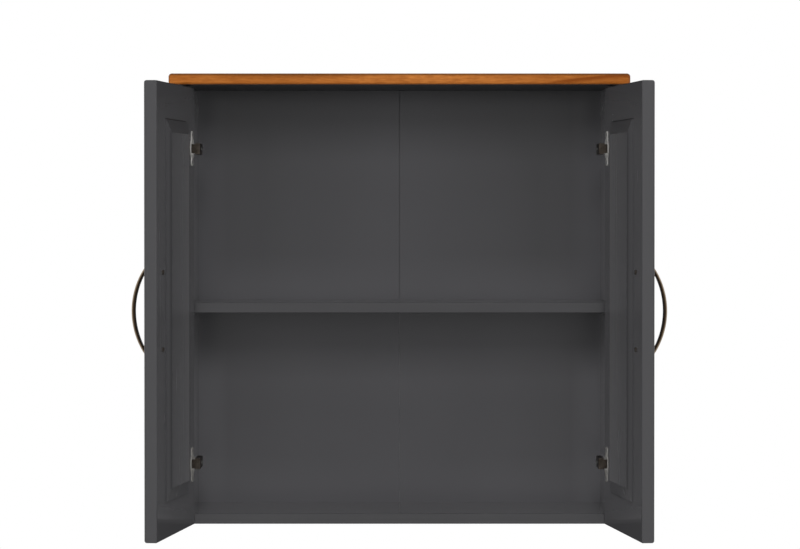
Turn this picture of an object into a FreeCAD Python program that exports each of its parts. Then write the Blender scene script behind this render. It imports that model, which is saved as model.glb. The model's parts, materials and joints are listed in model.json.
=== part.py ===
import FreeCAD, Part
import math
import os

# A wall cabinet with two panelled doors standing open, one loose shelf and an overhanging top board.
# X runs to the right, Y towards the wall and Z up. The origin lies on the wall between the hanger eyes.
# Lengths are in millimetres and angles in degrees. Left-hand pieces are made and mirrored to the right.

# Carcase boards
carcase_width = 764.0
carcase_height = 764.0
carcase_depth = 280.0
board_thickness = 18.0
board_round = 1.5

# Top board
top_thickness = 20.0
top_side_overhang = 18.0
top_front_overhang = 40.0
top_round = 6.0

# Back panel, in two halves with a tape behind the seam
back_thickness = 4.0
back_inset = 16.0
back_groove_depth = 6.0
back_end_clearance = 0.5
back_face_clearance = 0.1
seam_gap = 0.6
seam_tape_width = 40.0
seam_tape_thickness = 0.5

# Shelf, with its top face measured from the underside of the cabinet
shelf_height = 386.0
shelf_thickness = 18.0
shelf_setback = 10.0
shelf_end_clearance = 1.0
shelf_back_clearance = 1.0

# Shelf pins and the holes that they can be moved to
shelf_pin_radius = 2.5
shelf_pin_inset = 50.0
shelf_pin_depth = 9.0
shelf_pin_reach = 8.0
shelf_pin_flat = 0.6
shelf_hole_depth = 10.0
shelf_hole_pitch = 32.0
shelf_hole_steps = (-1, 0, 1)

# Doors
door_middle_gap = 3.0
door_side_reveal = 1.0
door_top_gap = 4.0
door_face_gap = 3.0
door_thickness = 22.0
door_outer_round = 5.0
door_inner_round = 2.0
door_open_angle = 96.1
stile_width = 81.0
rail_width = 61.0
front_chamfer = 4.0
inside_chamfer = 0.8

# Door panels, held by a tongue in the grooves of the frame
panel_thickness = 22.0
panel_recess = 8.0
panel_gap = 0.8
bevel_width = 22.0
bevel_start = 2.5
field_step = 0.7
tongue_thickness = 7.0
tongue_length = 9.0
tongue_clearance = 0.15
frame_groove_depth = 10.0

# Hinge pins, measured from the door's hinge edge and inner face
hinge_inset = 106.0
hinge_pin_setback = 9.8
hinge_pin_depth = 13.0
hinge_pin_radius = 1.5
hinge_pin_length = 22.0
hinge_pin_clearance = 0.04

# Hinge cups
cup_radius = 17.5
cup_edge_distance = 4.2
cup_wall = 0.8
cup_floor = 0.8
cup_bore_clearance = 0.1
pocket_clearance = 0.6
flange_thickness = 1.0
flange_margin = 0.6
flange_length = 60.0
flange_width = 16.0
flange_offset = 2.0
flange_round = 5.0
cup_screw_spacing = 48.0

# Hinge arms
barrel_radius = 2.6
neck_thickness = 2.6
neck_height = 15.0
arm_height = 19.0
arm_rim_clearance = 1.8
arm_depth = 9.0
arm_wall = 1.8
arm_length = 62.0
arm_round = 1.2

# Hinge mounting plates
plate_setback = 37.0
plate_length = 60.0
plate_width = 16.0
plate_thickness = 2.0
plate_round = 4.0
plate_screw_spacing = 32.0
plate_rail_length = 44.0
plate_rail_clearance = 0.2
arm_screw_spacing = 24.0

# Bow handles
handle_setback = 55.0
handle_spacing = 128.0
handle_length = 163.0
handle_projection = 29.5
bow_thickness = 6.0
bow_end_length = 6.2
bow_width = 10.5
foot_width = 16.0
foot_inward = 6.7
bow_tail = 5.0
handle_front_round = 2.6
handle_back_round = 1.0
handle_thread_depth = 8.0

# Wall hangers
hanger_drop = 60.0
hanger_eye_radius = 5.0
hanger_eye_wall = 4.0
hanger_eye_reach = 12.0
hanger_thickness = 2.0
hanger_height = 40.0
hanger_outer_margin = 3.0
hanger_round = 3.0
hanger_screw_spacing = 24.0

# Dowels and cam fittings
dowel_radius = 4.0
dowel_length = 30.0
dowel_face_depth = 11.0
dowel_setback = 40.0
cam_radius = 7.5
cam_depth = 12.5
cam_distance = 34.0
cam_setback = 80.0
cam_slot = {"length": 10.0, "width": 1.4, "depth": 2.0}
bolt_radius = 2.5
bolt_head_radius = 3.3
bolt_head_length = 4.0
bolt_face_depth = 10.0

# Screws and nails, as shank radius, head radius, head height and length under the head
wood_screw = {"shank": 1.75, "head": 3.4, "height": 1.0, "length": 12.0}
hanger_screw = {"shank": 1.9, "head": 3.9, "height": 2.0, "length": 28.0}
arm_screw = {"shank": 2.0, "head": 3.5, "height": 1.5, "length": 8.0}
handle_screw = {"shank": 2.0, "head": 4.0, "height": 2.4}
back_nail = {"shank": 0.8, "head": 2.2, "height": 0.8, "length": 18.0}
nails_per_half = 3
screw_slot = {"length": 3.4, "width": 0.8, "depth": 0.9}
hole_clearance = 0.05
hole_end_clearance = 0.5

# Planes and points worked out from the sizes
half_width = carcase_width / 2
inner_x = -half_width + board_thickness
side_middle_x = -half_width + board_thickness / 2
front_y = -carcase_depth
back_rear_y = -back_inset
back_front_y = back_rear_y - back_thickness
under_top_z = hanger_drop
bottom_z = under_top_z - carcase_height
bottom_middle_z = bottom_z + board_thickness / 2
shelf_top_z = bottom_z + shelf_height
shelf_under_z = shelf_top_z - shelf_thickness
shelf_front_y = front_y + shelf_setback
shelf_back_y = back_front_y - shelf_back_clearance
hinge_edge_x = -half_width + door_side_reveal
free_edge_x = -door_middle_gap / 2
door_inner_y = front_y - door_face_gap
door_outer_y = door_inner_y - door_thickness
door_top_z = under_top_z - door_top_gap
opening_x = (hinge_edge_x + stile_width, free_edge_x - stile_width)
opening_z = (bottom_z + rail_width, door_top_z - rail_width)
panel_front_y = door_outer_y + panel_recess
panel_inner_y = panel_front_y + panel_thickness
tongue_y = (panel_front_y, panel_front_y + tongue_thickness)
groove_y = (tongue_y[0] - tongue_clearance, tongue_y[1] + tongue_clearance)
pin_x = hinge_edge_x + hinge_pin_setback
pin_y = door_inner_y - hinge_pin_depth
hinge_z = {"upper": door_top_z - hinge_inset, "lower": bottom_z + hinge_inset}
cup_x = hinge_edge_x + cup_edge_distance + cup_radius
flange_x = cup_x + flange_offset
rim_y = door_inner_y + flange_thickness
cup_depth = hinge_pin_depth + barrel_radius + pocket_clearance + cup_floor
arm_inner_x = pin_x + hinge_pin_depth + flange_thickness + arm_rim_clearance
arm_outer_x = arm_inner_x + arm_depth
arm_back_y = front_y + arm_length
plate_y = front_y + plate_setback
handle_x = free_edge_x - handle_setback
handle_z = (bottom_z + door_top_z) / 2
eye_x = inner_x + hanger_eye_reach
dowel_places_y = (front_y + dowel_setback, back_front_y - dowel_setback)
cam_places_y = (front_y + cam_setback, back_front_y - cam_setback)

TOUCH = 1e-6
TO_RIGHT = FreeCAD.Vector(1, 0, 0)
TO_LEFT = FreeCAD.Vector(-1, 0, 0)
TO_WALL = FreeCAD.Vector(0, 1, 0)
TO_ROOM = FreeCAD.Vector(0, -1, 0)
UP = FreeCAD.Vector(0, 0, 1)
DOWN = FreeCAD.Vector(0, 0, -1)


def point(x, y, z):
    return FreeCAD.Vector(x, y, z)


def block(x, y, z):
    """Box between two limits along each axis."""
    return Part.makeBox(x[1] - x[0], y[1] - y[0], z[1] - z[0], point(x[0], y[0], z[0]))


def rod(radius, length, start, direction):
    return Part.makeCylinder(radius, length, start, direction)


def around(middle, size):
    """Limits of a span about its middle."""
    return (middle - size / 2, middle + size / 2)


def grown(limits, amount):
    return (limits[0] - amount, limits[1] + amount)


def lies_at(edge, **places):
    """Whether both ends of an edge lie at the given coordinates, such as Y=0."""
    return all(
        abs(getattr(vertex, axis) - value) < TOUCH
        for vertex in edge.Vertexes
        for axis, value in places.items()
    )


def edges_at(shape, **places):
    return [edge for edge in shape.Edges if lies_at(edge, **places)]


def edges_along(shape, direction):
    return [
        edge for edge in shape.Edges if edge.tangentAt(edge.FirstParameter).cross(direction).Length < TOUCH
    ]


def rectangle(x, z, y):
    """Closed rectangular wire in a plane square to Y."""
    corners = [point(x[0], y, z[0]), point(x[1], y, z[0]), point(x[1], y, z[1]), point(x[0], y, z[1])]
    return Part.makePolygon(corners + corners[:1])


def tapered_block(x, z, y_base, y_tip, growth):
    """Block whose rectangle grows by a given amount on every side from its base to its tip."""
    base = rectangle(x, z, y_base)
    tip = rectangle(grown(x, growth), grown(z, growth), y_tip)
    return Part.makeLoft([base, tip], True, True)


def mirrored(shape):
    return shape.mirror(point(0, 0, 0), TO_RIGHT)


def on_both_sides(solids):
    """Group of the given left-hand solids with their right-hand copies."""
    return Part.makeCompound(list(solids) + [mirrored(solid) for solid in solids])


def swung_open(shape):
    """Left door piece, made closed, turned about the hinge pins to the open position."""
    turned = shape.copy()
    turned.rotate(point(pin_x, pin_y, 0), UP, -door_open_angle)
    return turned


def cross_slot(size, centre, line, inward):
    """Two crossing slots sunk into a face, one along a line of the face and one square to it."""
    slots = []
    for along in (line, line.cross(inward)):
        length = along * size["length"]
        width = along.cross(inward) * size["width"]
        corner = centre - length / 2 - width / 2
        far_corner = corner + length + width
        outline = Part.makePolygon([corner, corner + length, far_corner, corner + width, corner])
        slots.append(Part.Face(outline).extrude(inward * size["depth"]))
    return Part.makeCompound(slots)


def flat_head_screw(kind, head_face, direction):
    """Countersunk screw whose head lies flush with a face."""
    head = Part.makeCone(kind["head"], kind["shank"], kind["height"], head_face, direction)
    shank = rod(kind["shank"], kind["length"], head_face, direction)
    screw = head.fuse(shank).removeSplitter()
    return screw.cut(cross_slot(screw_slot, head_face, UP, direction))


def flat_head_hole(kind, head_face, direction):
    """Space that a countersunk screw needs, with its clearances."""
    head = Part.makeCone(kind["head"] + hole_clearance, kind["shank"] + hole_clearance,
                         kind["height"], head_face, direction)
    shank = rod(kind["shank"] + hole_clearance, kind["length"] + hole_end_clearance, head_face, direction)
    return head.fuse(shank)


def round_head_nail(kind, length, seat, direction):
    """Nail whose domed head stands on a face, with its shank going in along the direction."""
    dome = kind["height"] / 2
    head = rod(kind["head"], kind["height"], seat, direction * -1)
    rim = [edge for edge in head.Edges if edge.Closed and (edge.CenterOfMass - seat).Length > dome]
    head = head.makeFillet(dome, rim)
    return head.fuse(rod(kind["shank"], length, seat, direction)).removeSplitter()


def round_head_screw(kind, length, seat, direction):
    head_top = seat - direction * kind["height"]
    screw = round_head_nail(kind, length, seat, direction)
    return screw.cut(cross_slot(screw_slot, head_top, UP, direction))


# Dowels, which start in the face of one board and run into the end of the other
def dowel_places():
    """Start and direction of each left-hand dowel, from the bottom of its hole in the face board."""
    for y in dowel_places_y:
        yield point(side_middle_x, y, under_top_z + dowel_face_depth), DOWN
        yield point(inner_x - dowel_face_depth, y, bottom_middle_z), TO_RIGHT


def dowels():
    return [rod(dowel_radius, dowel_length, start, along) for start, along in dowel_places()]


def dowel_holes():
    length = dowel_length + 2 * hole_end_clearance
    holes = [
        rod(dowel_radius + hole_clearance, length, start - along * hole_end_clearance, along)
        for start, along in dowel_places()
    ]
    return Part.makeCompound(holes)


# Cam fittings, each a bolt that stands in the face of one board and a disc that grips its head
def cam_places():
    """Foot and direction of each left-hand bolt, then the mouth and direction of its disc."""
    for y in cam_places_y:
        foot = point(side_middle_x, y, under_top_z)
        mouth = point(inner_x, y, under_top_z - cam_distance)
        yield foot, DOWN, mouth, TO_LEFT
        foot = point(inner_x, y, bottom_middle_z)
        mouth = point(inner_x + cam_distance, y, bottom_z)
        yield foot, TO_RIGHT, mouth, UP


def cam_bolts():
    bolts = []
    for foot, along, _, _ in cam_places():
        thread_end = foot - along * bolt_face_depth
        head_start = foot + along * (cam_distance - bolt_head_length / 2)
        shank = rod(bolt_radius, bolt_face_depth + cam_distance, thread_end, along)
        head = rod(bolt_head_radius, bolt_head_length, head_start, along)
        bolts.append(shank.fuse(head).removeSplitter())
    return bolts


def cam_bolt_holes():
    holes = []
    for foot, along, _, _ in cam_places():
        thread_end = foot - along * (bolt_face_depth + hole_end_clearance)
        thread_length = bolt_face_depth + hole_end_clearance
        passage_length = cam_distance + bolt_head_length / 2 + hole_end_clearance
        holes.append(rod(bolt_radius + hole_clearance, thread_length, thread_end, along))
        holes.append(rod(bolt_head_radius + hole_clearance, passage_length, foot, along))
    return Part.makeCompound(holes)


def cam_discs():
    """Round discs with a cross slot in the face and a way in for the head of the bolt."""
    passages = cam_bolt_holes()
    discs = []
    for _, along, mouth, inward in cam_places():
        disc = rod(cam_radius, cam_depth, mouth, inward).cut(passages)
        discs.append(disc.cut(cross_slot(cam_slot, mouth, along, inward)))
    return discs


def cam_bores():
    bores = [
        rod(cam_radius + hole_clearance, cam_depth + hole_clearance, mouth, inward)
        for _, _, mouth, inward in cam_places()
    ]
    return Part.makeCompound(bores)


# Shelf pins, with a flat on top that the shelf rests on
def shelf_pin_places_y():
    return (shelf_front_y + shelf_pin_inset, shelf_back_y - shelf_pin_inset)


def shelf_pin_axis_z():
    return shelf_under_z - shelf_pin_radius + shelf_pin_flat


def shelf_pins():
    pins = []
    for y in shelf_pin_places_y():
        start = point(inner_x - shelf_pin_depth, y, shelf_pin_axis_z())
        pin = rod(shelf_pin_radius, shelf_pin_depth + shelf_pin_reach, start, TO_RIGHT)
        flat = block(
            (inner_x, inner_x + shelf_pin_reach),
            around(y, 2 * shelf_pin_radius),
            (shelf_under_z, shelf_under_z + shelf_pin_radius),
        )
        pins.append(pin.cut(flat))
    return pins


def shelf_pin_holes():
    holes = []
    for y in shelf_pin_places_y():
        for step in shelf_hole_steps:
            mouth = point(inner_x, y, shelf_pin_axis_z() + step * shelf_hole_pitch)
            holes.append(rod(shelf_pin_radius + hole_clearance, shelf_hole_depth, mouth, TO_LEFT))
    return Part.makeCompound(holes)


# Wall hangers, let into the back edges of the sides
def hanger_span_x():
    return (-half_width + hanger_outer_margin, eye_x + hanger_eye_radius + hanger_eye_wall)


def hanger_screw_seats():
    return [point(side_middle_x, 0, z) for z in around(0, hanger_screw_spacing)]


def hanger_plate():
    plate = block(hanger_span_x(), (-hanger_thickness, 0), around(0, hanger_height))
    plate = plate.makeFillet(hanger_round, edges_along(plate, TO_WALL))
    plate = plate.cut(rod(hanger_eye_radius, hanger_thickness, point(eye_x, 0, 0), TO_ROOM))
    for seat in hanger_screw_seats():
        plate = plate.cut(flat_head_hole(hanger_screw, seat, TO_ROOM))
    return plate


def hanger_screws():
    return [flat_head_screw(hanger_screw, seat, TO_ROOM) for seat in hanger_screw_seats()]


# Hinge mounting plates, screwed to the sides
def plate_screw_seats(z):
    return [point(inner_x + plate_thickness, plate_y, seat_z) for seat_z in around(z, plate_screw_spacing)]


def arm_screw_seats(z):
    return [point(arm_outer_x, y, z) for y in around(plate_y, arm_screw_spacing)]


def hinge_plate(z):
    """Winged base with a raised rail that the arm sits over."""
    base_x = (inner_x, inner_x + plate_thickness)
    base = block(base_x, around(plate_y, plate_width), around(z, plate_length))
    base = base.makeFillet(plate_round, edges_along(base, TO_RIGHT))
    rail_x = (inner_x, arm_outer_x - arm_wall)
    rail_height = arm_height - 2 * arm_wall - 2 * plate_rail_clearance
    rail = block(rail_x, around(plate_y, plate_rail_length), around(z, rail_height))
    plate = base.fuse(rail).removeSplitter()
    for seat in plate_screw_seats(z):
        plate = plate.cut(flat_head_hole(wood_screw, seat, TO_LEFT))
    for seat in arm_screw_seats(z):
        plate = plate.cut(rod(arm_screw["shank"] + hole_clearance,
                              arm_screw["length"] + hole_end_clearance, seat, TO_LEFT))
    return plate


def hinge_arm(z):
    """Barrel round the pin, neck that reaches out of the cup, and channel that runs back to the plate."""
    neck_y = around(pin_y, neck_thickness)
    channel_y = (neck_y[0], arm_back_y)
    channel_z = around(z, arm_height)
    channel = block((arm_inner_x, arm_outer_x), channel_y, channel_z)
    channel = channel.makeFillet(arm_round, edges_at(channel, X=arm_outer_x))
    hollow_x = (arm_inner_x, arm_outer_x - arm_wall)
    hollow = block(hollow_x, (neck_y[1], arm_back_y), grown(channel_z, -arm_wall))
    neck = block((pin_x, arm_inner_x + arm_wall), neck_y, around(z, neck_height))
    barrel_foot = point(pin_x, pin_y, z - neck_height / 2)
    barrel = rod(barrel_radius, neck_height, barrel_foot, UP)
    arm = channel.cut(hollow).fuse([neck, barrel]).removeSplitter()
    arm = arm.cut(rod(hinge_pin_radius + hinge_pin_clearance, neck_height, barrel_foot, UP))
    for seat in arm_screw_seats(z):
        arm = arm.cut(rod(arm_screw["shank"] + hole_clearance, 2 * arm_wall, seat, TO_LEFT))
    return arm


# Hinge cups, sunk into the doors
def cup_screw_seats(z):
    return [point(flange_x, rim_y, seat_z) for seat_z in around(z, cup_screw_spacing)]


def hinge_pin(z):
    return rod(hinge_pin_radius, hinge_pin_length, point(pin_x, pin_y, z - hinge_pin_length / 2), UP)


def cup_pocket(z):
    """Room that the arm needs inside the cup while the door swings."""
    depth_y = (pin_y - barrel_radius - pocket_clearance, rim_y)
    rim_height = hinge_pin_depth + flange_thickness
    arm_swing_x = pin_x + math.sqrt((arm_inner_x - pin_x) ** 2 - rim_height ** 2) - pocket_clearance
    far_x = arm_outer_x + pocket_clearance
    near_x = pin_x - barrel_radius - pocket_clearance
    narrow = block((near_x, far_x), depth_y, around(z, neck_height + 2 * pocket_clearance))
    wide = block((arm_swing_x, far_x), depth_y, around(z, arm_height + 2 * pocket_clearance))
    inside = rod(cup_radius - cup_wall, depth_y[1] - depth_y[0], point(cup_x, depth_y[0], z), TO_WALL)
    return narrow.fuse(wide).common(inside)


def hinge_cup(z):
    """Round cup with a flange that has two screw wings, and the pin's holes in its walls."""
    cup = rod(cup_radius, cup_depth, point(cup_x, door_inner_y, z), TO_ROOM)
    ring = rod(cup_radius + flange_margin, flange_thickness, point(cup_x, door_inner_y, z), TO_WALL)
    wings = block(around(flange_x, flange_width), (door_inner_y, rim_y), around(z, flange_length))
    wings = wings.makeFillet(flange_round, edges_along(wings, TO_WALL))
    cup = cup.fuse([ring, wings]).removeSplitter()
    cup = cup.cut(cup_pocket(z)).cut(hinge_pin(z))
    for seat in cup_screw_seats(z):
        cup = cup.cut(flat_head_hole(wood_screw, seat, TO_ROOM))
    return cup


def cup_bore(z):
    mouth = point(cup_x, door_inner_y, z)
    bore = rod(cup_radius + cup_bore_clearance, cup_depth + cup_bore_clearance, mouth, TO_ROOM)
    screw_holes = [flat_head_hole(wood_screw, seat, TO_ROOM) for seat in cup_screw_seats(z)]
    return Part.makeCompound([bore] + screw_holes)


# Boards of the carcase
def side_panel():
    panel = block((-half_width, inner_x), (front_y, 0), (bottom_z, under_top_z))
    panel = panel.makeFillet(board_round, edges_at(panel, Y=front_y))
    groove = block(
        (inner_x - back_groove_depth, inner_x),
        grown((back_front_y, back_rear_y), back_face_clearance),
        (bottom_z, under_top_z),
    )
    hanger_seat = block((hanger_span_x()[0], inner_x), (-hanger_thickness, 0), around(0, hanger_height))
    panel = panel.cut(groove).cut(hanger_seat)
    for holes in (dowel_holes(), cam_bolt_holes(), cam_bores(), shelf_pin_holes()):
        panel = panel.cut(holes)
    for seat in hanger_screw_seats():
        panel = panel.cut(flat_head_hole(hanger_screw, seat, TO_ROOM))
    for z in hinge_z.values():
        for seat in plate_screw_seats(z):
            panel = panel.cut(flat_head_hole(wood_screw, seat, TO_LEFT))
    return panel


def bottom_panel():
    panel = block((inner_x, -inner_x), (front_y, back_front_y), (bottom_z, bottom_z + board_thickness))
    front_edges = edges_at(panel, Y=front_y, Z=bottom_z)
    front_edges += edges_at(panel, Y=front_y, Z=bottom_z + board_thickness)
    panel = panel.makeFillet(board_round, front_edges)
    for holes in (dowel_holes(), cam_bolt_holes(), cam_bores()):
        panel = panel.cut(holes).cut(mirrored(holes))
    for hole in back_nail_holes():
        panel = panel.cut(hole).cut(mirrored(hole))
    return panel


def top_board():
    span_x = grown((-half_width, half_width), top_side_overhang)
    span_y = (front_y - top_front_overhang, 0)
    board = block(span_x, span_y, (under_top_z, under_top_z + top_thickness))
    board = board.makeFillet(top_round, [edge for edge in board.Edges if not lies_at(edge, Y=0)])
    for holes in (dowel_holes(), cam_bolt_holes()):
        board = board.cut(holes).cut(mirrored(holes))
    return board


def shelf():
    ends = grown((inner_x, -inner_x), -shelf_end_clearance)
    board = block(ends, (shelf_front_y, shelf_back_y), (shelf_under_z, shelf_top_z))
    return board.makeFillet(board_round, edges_at(board, Y=shelf_front_y))


# Back panel
def back_nail_heads():
    """Nail heads on the rear face, evenly along the back edge of the bottom panel."""
    spacing = -inner_x / nails_per_half
    places_x = [inner_x + (place + 0.5) * spacing for place in range(nails_per_half)]
    return [point(x, back_rear_y, bottom_middle_z) for x in places_x]


def back_nails():
    return [round_head_nail(back_nail, back_nail["length"], head, TO_ROOM) for head in back_nail_heads()]


def back_nail_holes():
    length = back_nail["length"] + hole_end_clearance
    return [rod(back_nail["shank"] + hole_clearance, length, head, TO_ROOM) for head in back_nail_heads()]


def back_panel():
    half = block(
        (inner_x - back_groove_depth + back_end_clearance, -seam_gap / 2),
        (back_front_y, back_rear_y),
        (bottom_z, under_top_z),
    )
    for hole in back_nail_holes():
        half = half.cut(hole)
    return half


def back_seam_tape():
    return block(
        around(0, seam_tape_width),
        (back_rear_y, back_rear_y + seam_tape_thickness),
        (bottom_z, under_top_z),
    )


# Door frame, cut from one rounded blank so that its edges run through the joints
def door_blank():
    blank = block((hinge_edge_x, free_edge_x), (door_outer_y, door_inner_y), (bottom_z, door_top_z))
    blank = blank.makeFillet(door_outer_round, edges_at(blank, Y=door_outer_y))
    blank = blank.makeFillet(door_inner_round, edges_at(blank, Y=door_inner_y))
    front = tapered_block(opening_x, opening_z, door_outer_y + front_chamfer, door_outer_y, front_chamfer)
    chamfer_y = door_inner_y - inside_chamfer
    inside = tapered_block(opening_x, opening_z, chamfer_y, door_inner_y, inside_chamfer)
    return blank.cut(front).cut(inside)


def stile(x, groove_x):
    """Upright of the frame with a groove along its inner edge."""
    upright = door_blank().common(block(x, (door_outer_y, door_inner_y), (bottom_z, door_top_z)))
    return upright.cut(block(groove_x, groove_y, (bottom_z, door_top_z)))


def hinge_stile():
    upright = stile((hinge_edge_x, opening_x[0]), (opening_x[0] - frame_groove_depth, opening_x[0]))
    for z in hinge_z.values():
        upright = upright.cut(cup_bore(z))
    return upright


def handle_stile():
    upright = stile((opening_x[1], free_edge_x), (opening_x[1], opening_x[1] + frame_groove_depth))
    for seat in handle_screw_seats():
        upright = upright.cut(rod(handle_screw["shank"] + hole_clearance, door_thickness, seat, TO_ROOM))
    return upright


def door_rail(z, groove_z, tenon_z):
    """Cross member of the frame with a groove along its inner edge and a tenon at each end."""
    rail = door_blank().common(block(opening_x, (door_outer_y, door_inner_y), z))
    tenons = block(grown(opening_x, tongue_length), tongue_y, tenon_z)
    rail = rail.fuse(tenons).removeSplitter()
    return rail.cut(block(grown(opening_x, tongue_length), groove_y, groove_z))


def top_rail():
    groove_top = opening_z[1] + frame_groove_depth
    return door_rail((opening_z[1], door_top_z), (opening_z[1], groove_top), (groove_top, door_top_z))


def bottom_rail():
    groove_bottom = opening_z[0] - frame_groove_depth
    return door_rail((bottom_z, opening_z[0]), (groove_bottom, opening_z[0]), (bottom_z, groove_bottom))


def door_panel():
    """Panel with a tongue all round, and inside the door a bevel that rises to a flat field."""
    body_x = grown(opening_x, -panel_gap)
    body_z = grown(opening_z, -panel_gap)
    shoulder_y = door_inner_y + bevel_start
    bevel_top_y = panel_inner_y - field_step
    tongue = block(grown(opening_x, tongue_length), tongue_y, grown(opening_z, tongue_length))
    body = block(body_x, (panel_front_y, shoulder_y), body_z)
    field_x = grown(opening_x, -bevel_width)
    field_z = grown(opening_z, -bevel_width)
    bevel = tapered_block(field_x, field_z, bevel_top_y, shoulder_y, bevel_width - panel_gap)
    field = block(field_x, (shoulder_y, panel_inner_y), field_z)
    field = field.makeFillet(field_step / 2, edges_at(field, Y=panel_inner_y))
    return body.fuse([tongue, bevel, field]).removeSplitter()


# Bow handles
def handle_screw_seats():
    return [point(handle_x, door_inner_y, z) for z in around(handle_z, handle_spacing)]


def handle_screws():
    length = door_thickness + handle_thread_depth
    return [round_head_screw(handle_screw, length, seat, TO_ROOM) for seat in handle_screw_seats()]


def bow_point(z, height):
    """Point of the bow's side, by its distance from the middle and its height over the door's face."""
    return point(handle_x - foot_width, door_outer_y - height, handle_z + z)


def bow_arcs():
    """Half chord on the door's face and rise of the bow's outer and inner arcs."""
    half = handle_length / 2
    return (half, handle_projection), (half - bow_end_length, handle_projection - bow_thickness)


def arc_radius(half_chord, rise):
    return (half_chord ** 2 + rise ** 2) / (2 * rise)


def arc_half_chord(half_chord, rise, height):
    """Half chord of an arc at a height over the door's face."""
    radius = arc_radius(half_chord, rise)
    return math.sqrt(radius ** 2 - (radius - rise + height) ** 2)


def arc_height(half_chord, rise, z):
    """Height of an arc over the door's face at a distance from the handle's middle."""
    radius = arc_radius(half_chord, rise)
    return math.sqrt(radius ** 2 - z ** 2) - radius + rise


def bow_outline():
    """Side outline of the bow, whose ends run on past the door's face."""
    arcs = []
    ends = []
    for half_chord, rise in bow_arcs():
        end = arc_half_chord(half_chord, rise, -bow_tail)
        upper_end = bow_point(end, -bow_tail)
        lower_end = bow_point(-end, -bow_tail)
        arcs.append(Part.Arc(lower_end, bow_point(0, rise), upper_end).toShape())
        ends.append((upper_end, lower_end))
    upper_line, lower_line = (Part.makeLine(outer, inner) for outer, inner in zip(*ends))
    return Part.Face(Part.Wire([arcs[0], upper_line, arcs[1], lower_line]))


def bow_front():
    """Block with the bow's outline as seen from the front, narrow in the middle and wide at the feet."""
    half = handle_length / 2 + bow_tail
    corners = {
        (side, end): point(handle_x + side * foot_width / 2, door_outer_y + bow_tail, handle_z + end * half)
        for side in (-1, 1)
        for end in (-1, 1)
    }
    waist = [point(handle_x + side * bow_width / 2, door_outer_y + bow_tail, handle_z) for side in (-1, 1)]
    outline = Part.Wire([
        Part.Arc(corners[-1, -1], waist[0], corners[-1, 1]).toShape(),
        Part.makeLine(corners[-1, 1], corners[1, 1]),
        Part.Arc(corners[1, 1], waist[1], corners[1, -1]).toShape(),
        Part.makeLine(corners[1, -1], corners[-1, -1]),
    ])
    return Part.Face(outline).extrude(TO_ROOM * (handle_projection + bow_tail))


def handle_foot():
    """Wedge that fills the corner between the upper end of the bow and the door."""
    foot_inner = handle_spacing / 2 - foot_inward
    outer_arc, inner_arc = bow_arcs()
    middle_height = (arc_height(*outer_arc, foot_inner) + arc_height(*inner_arc, foot_inner)) / 2
    wedge = [
        bow_point(foot_inner, 0),
        bow_point(foot_inner, middle_height),
        bow_point((outer_arc[0] + inner_arc[0]) / 2, 0),
        bow_point(foot_inner, 0),
    ]
    width = foot_width - 2 * handle_front_round
    foot = Part.Face(Part.makePolygon(wedge)).extrude(TO_RIGHT * width)
    return foot.translated(TO_RIGHT * (foot_width - width / 2))


def bow_handle():
    """Arched bow with a rounded front, on two feet that take the screws."""
    bow = bow_outline().extrude(TO_RIGHT * (2 * foot_width)).common(bow_front())
    bow_middle_y = door_outer_y - handle_projection + bow_thickness / 2

    def long_edges(at_front):
        edges = [edge for edge in bow.Edges if edge.BoundBox.ZLength > handle_spacing / 2]
        return [edge for edge in edges if (edge.BoundBox.YMin < bow_middle_y) == at_front]

    bow = bow.makeFillet(handle_front_round, long_edges(at_front=True))
    bow = bow.makeFillet(handle_back_round, long_edges(at_front=False))
    room = bow.BoundBox
    in_door = block((room.XMin, room.XMax), (door_outer_y, room.YMax), (room.ZMin, room.ZMax))
    upper_foot = handle_foot()
    lower_foot = upper_foot.mirror(point(0, 0, handle_z), UP)
    handle = bow.cut(in_door).fuse([upper_foot, lower_foot]).removeSplitter()
    hole_length = door_thickness + handle_thread_depth + hole_end_clearance
    for seat in handle_screw_seats():
        handle = handle.cut(rod(handle_screw["shank"] + hole_clearance, hole_length, seat, TO_ROOM))
    return handle


# All nodes, first the fixed carcase, then the shelf and the two doors
def carcase_nodes():
    nodes = {
        "top_board": top_board(),
        "side_panel_left": side_panel(),
        "side_panel_right": mirrored(side_panel()),
        "bottom_panel": bottom_panel(),
        "back_panel_left": back_panel(),
        "back_panel_right": mirrored(back_panel()),
        "back_seam_tape": back_seam_tape(),
        "back_nails": on_both_sides(back_nails()),
        "dowels": on_both_sides(dowels()),
        "cam_bolts": on_both_sides(cam_bolts()),
        "cam_discs": on_both_sides(cam_discs()),
        "shelf_pins": on_both_sides(shelf_pins()),
        "hanger_plate_left": hanger_plate(),
        "hanger_plate_right": mirrored(hanger_plate()),
        "hanger_screws": on_both_sides(hanger_screws()),
    }
    plate_screws = []
    arm_screws = []
    for level, z in hinge_z.items():
        nodes[f"hinge_plate_{level}_left"] = hinge_plate(z)
        nodes[f"hinge_plate_{level}_right"] = mirrored(hinge_plate(z))
        nodes[f"hinge_arm_{level}_left"] = hinge_arm(z)
        nodes[f"hinge_arm_{level}_right"] = mirrored(hinge_arm(z))
        for seat in plate_screw_seats(z):
            plate_screws.append(flat_head_screw(wood_screw, seat, TO_LEFT))
        for seat in arm_screw_seats(z):
            arm_screws.append(round_head_screw(arm_screw, arm_screw["length"], seat, TO_LEFT))
    nodes["hinge_plate_screws"] = on_both_sides(plate_screws)
    nodes["hinge_arm_screws"] = on_both_sides(arm_screws)
    return nodes


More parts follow.
